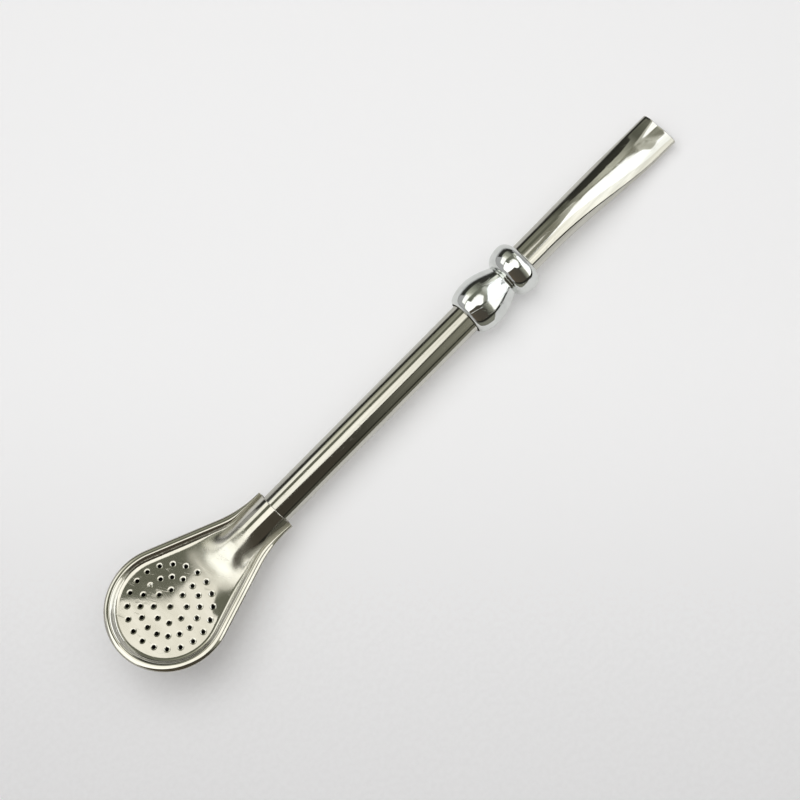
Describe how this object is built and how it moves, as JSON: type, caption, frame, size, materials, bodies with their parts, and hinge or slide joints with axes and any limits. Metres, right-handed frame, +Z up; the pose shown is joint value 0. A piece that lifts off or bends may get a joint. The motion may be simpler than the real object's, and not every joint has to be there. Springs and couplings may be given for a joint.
{
  "type": "bombilla",
  "caption": "Metal straw for mate: a perforated spoon strainer on a straight tube, with a lobed knop and a flattened mouthpiece.",
  "frame": {"origin": "middle of the flat on the belly of the strainer, straight below the middle of the bowl, on the surface the part lies on", "axes": "+X along the tube from the strainer to the mouth, +Y across it, +Z up and out of the perforated face"},
  "size_m": [0.156, 0.026, 0.0139],
  "materials": {
    "strainer_steel": "stamped stainless sheet, polished",
    "tube_steel": "drawn stainless tube, polished along its length",
    "knop_chrome": "bright plated casting"
  },
  "bodies": {
    "root": {"strainer_front": "strainer_steel", "strainer_back": "strainer_steel", "stem_tube": "tube_steel", "knop": "knop_chrome", "mouth_tube": "tube_steel"}
  },
  "joints": []
}
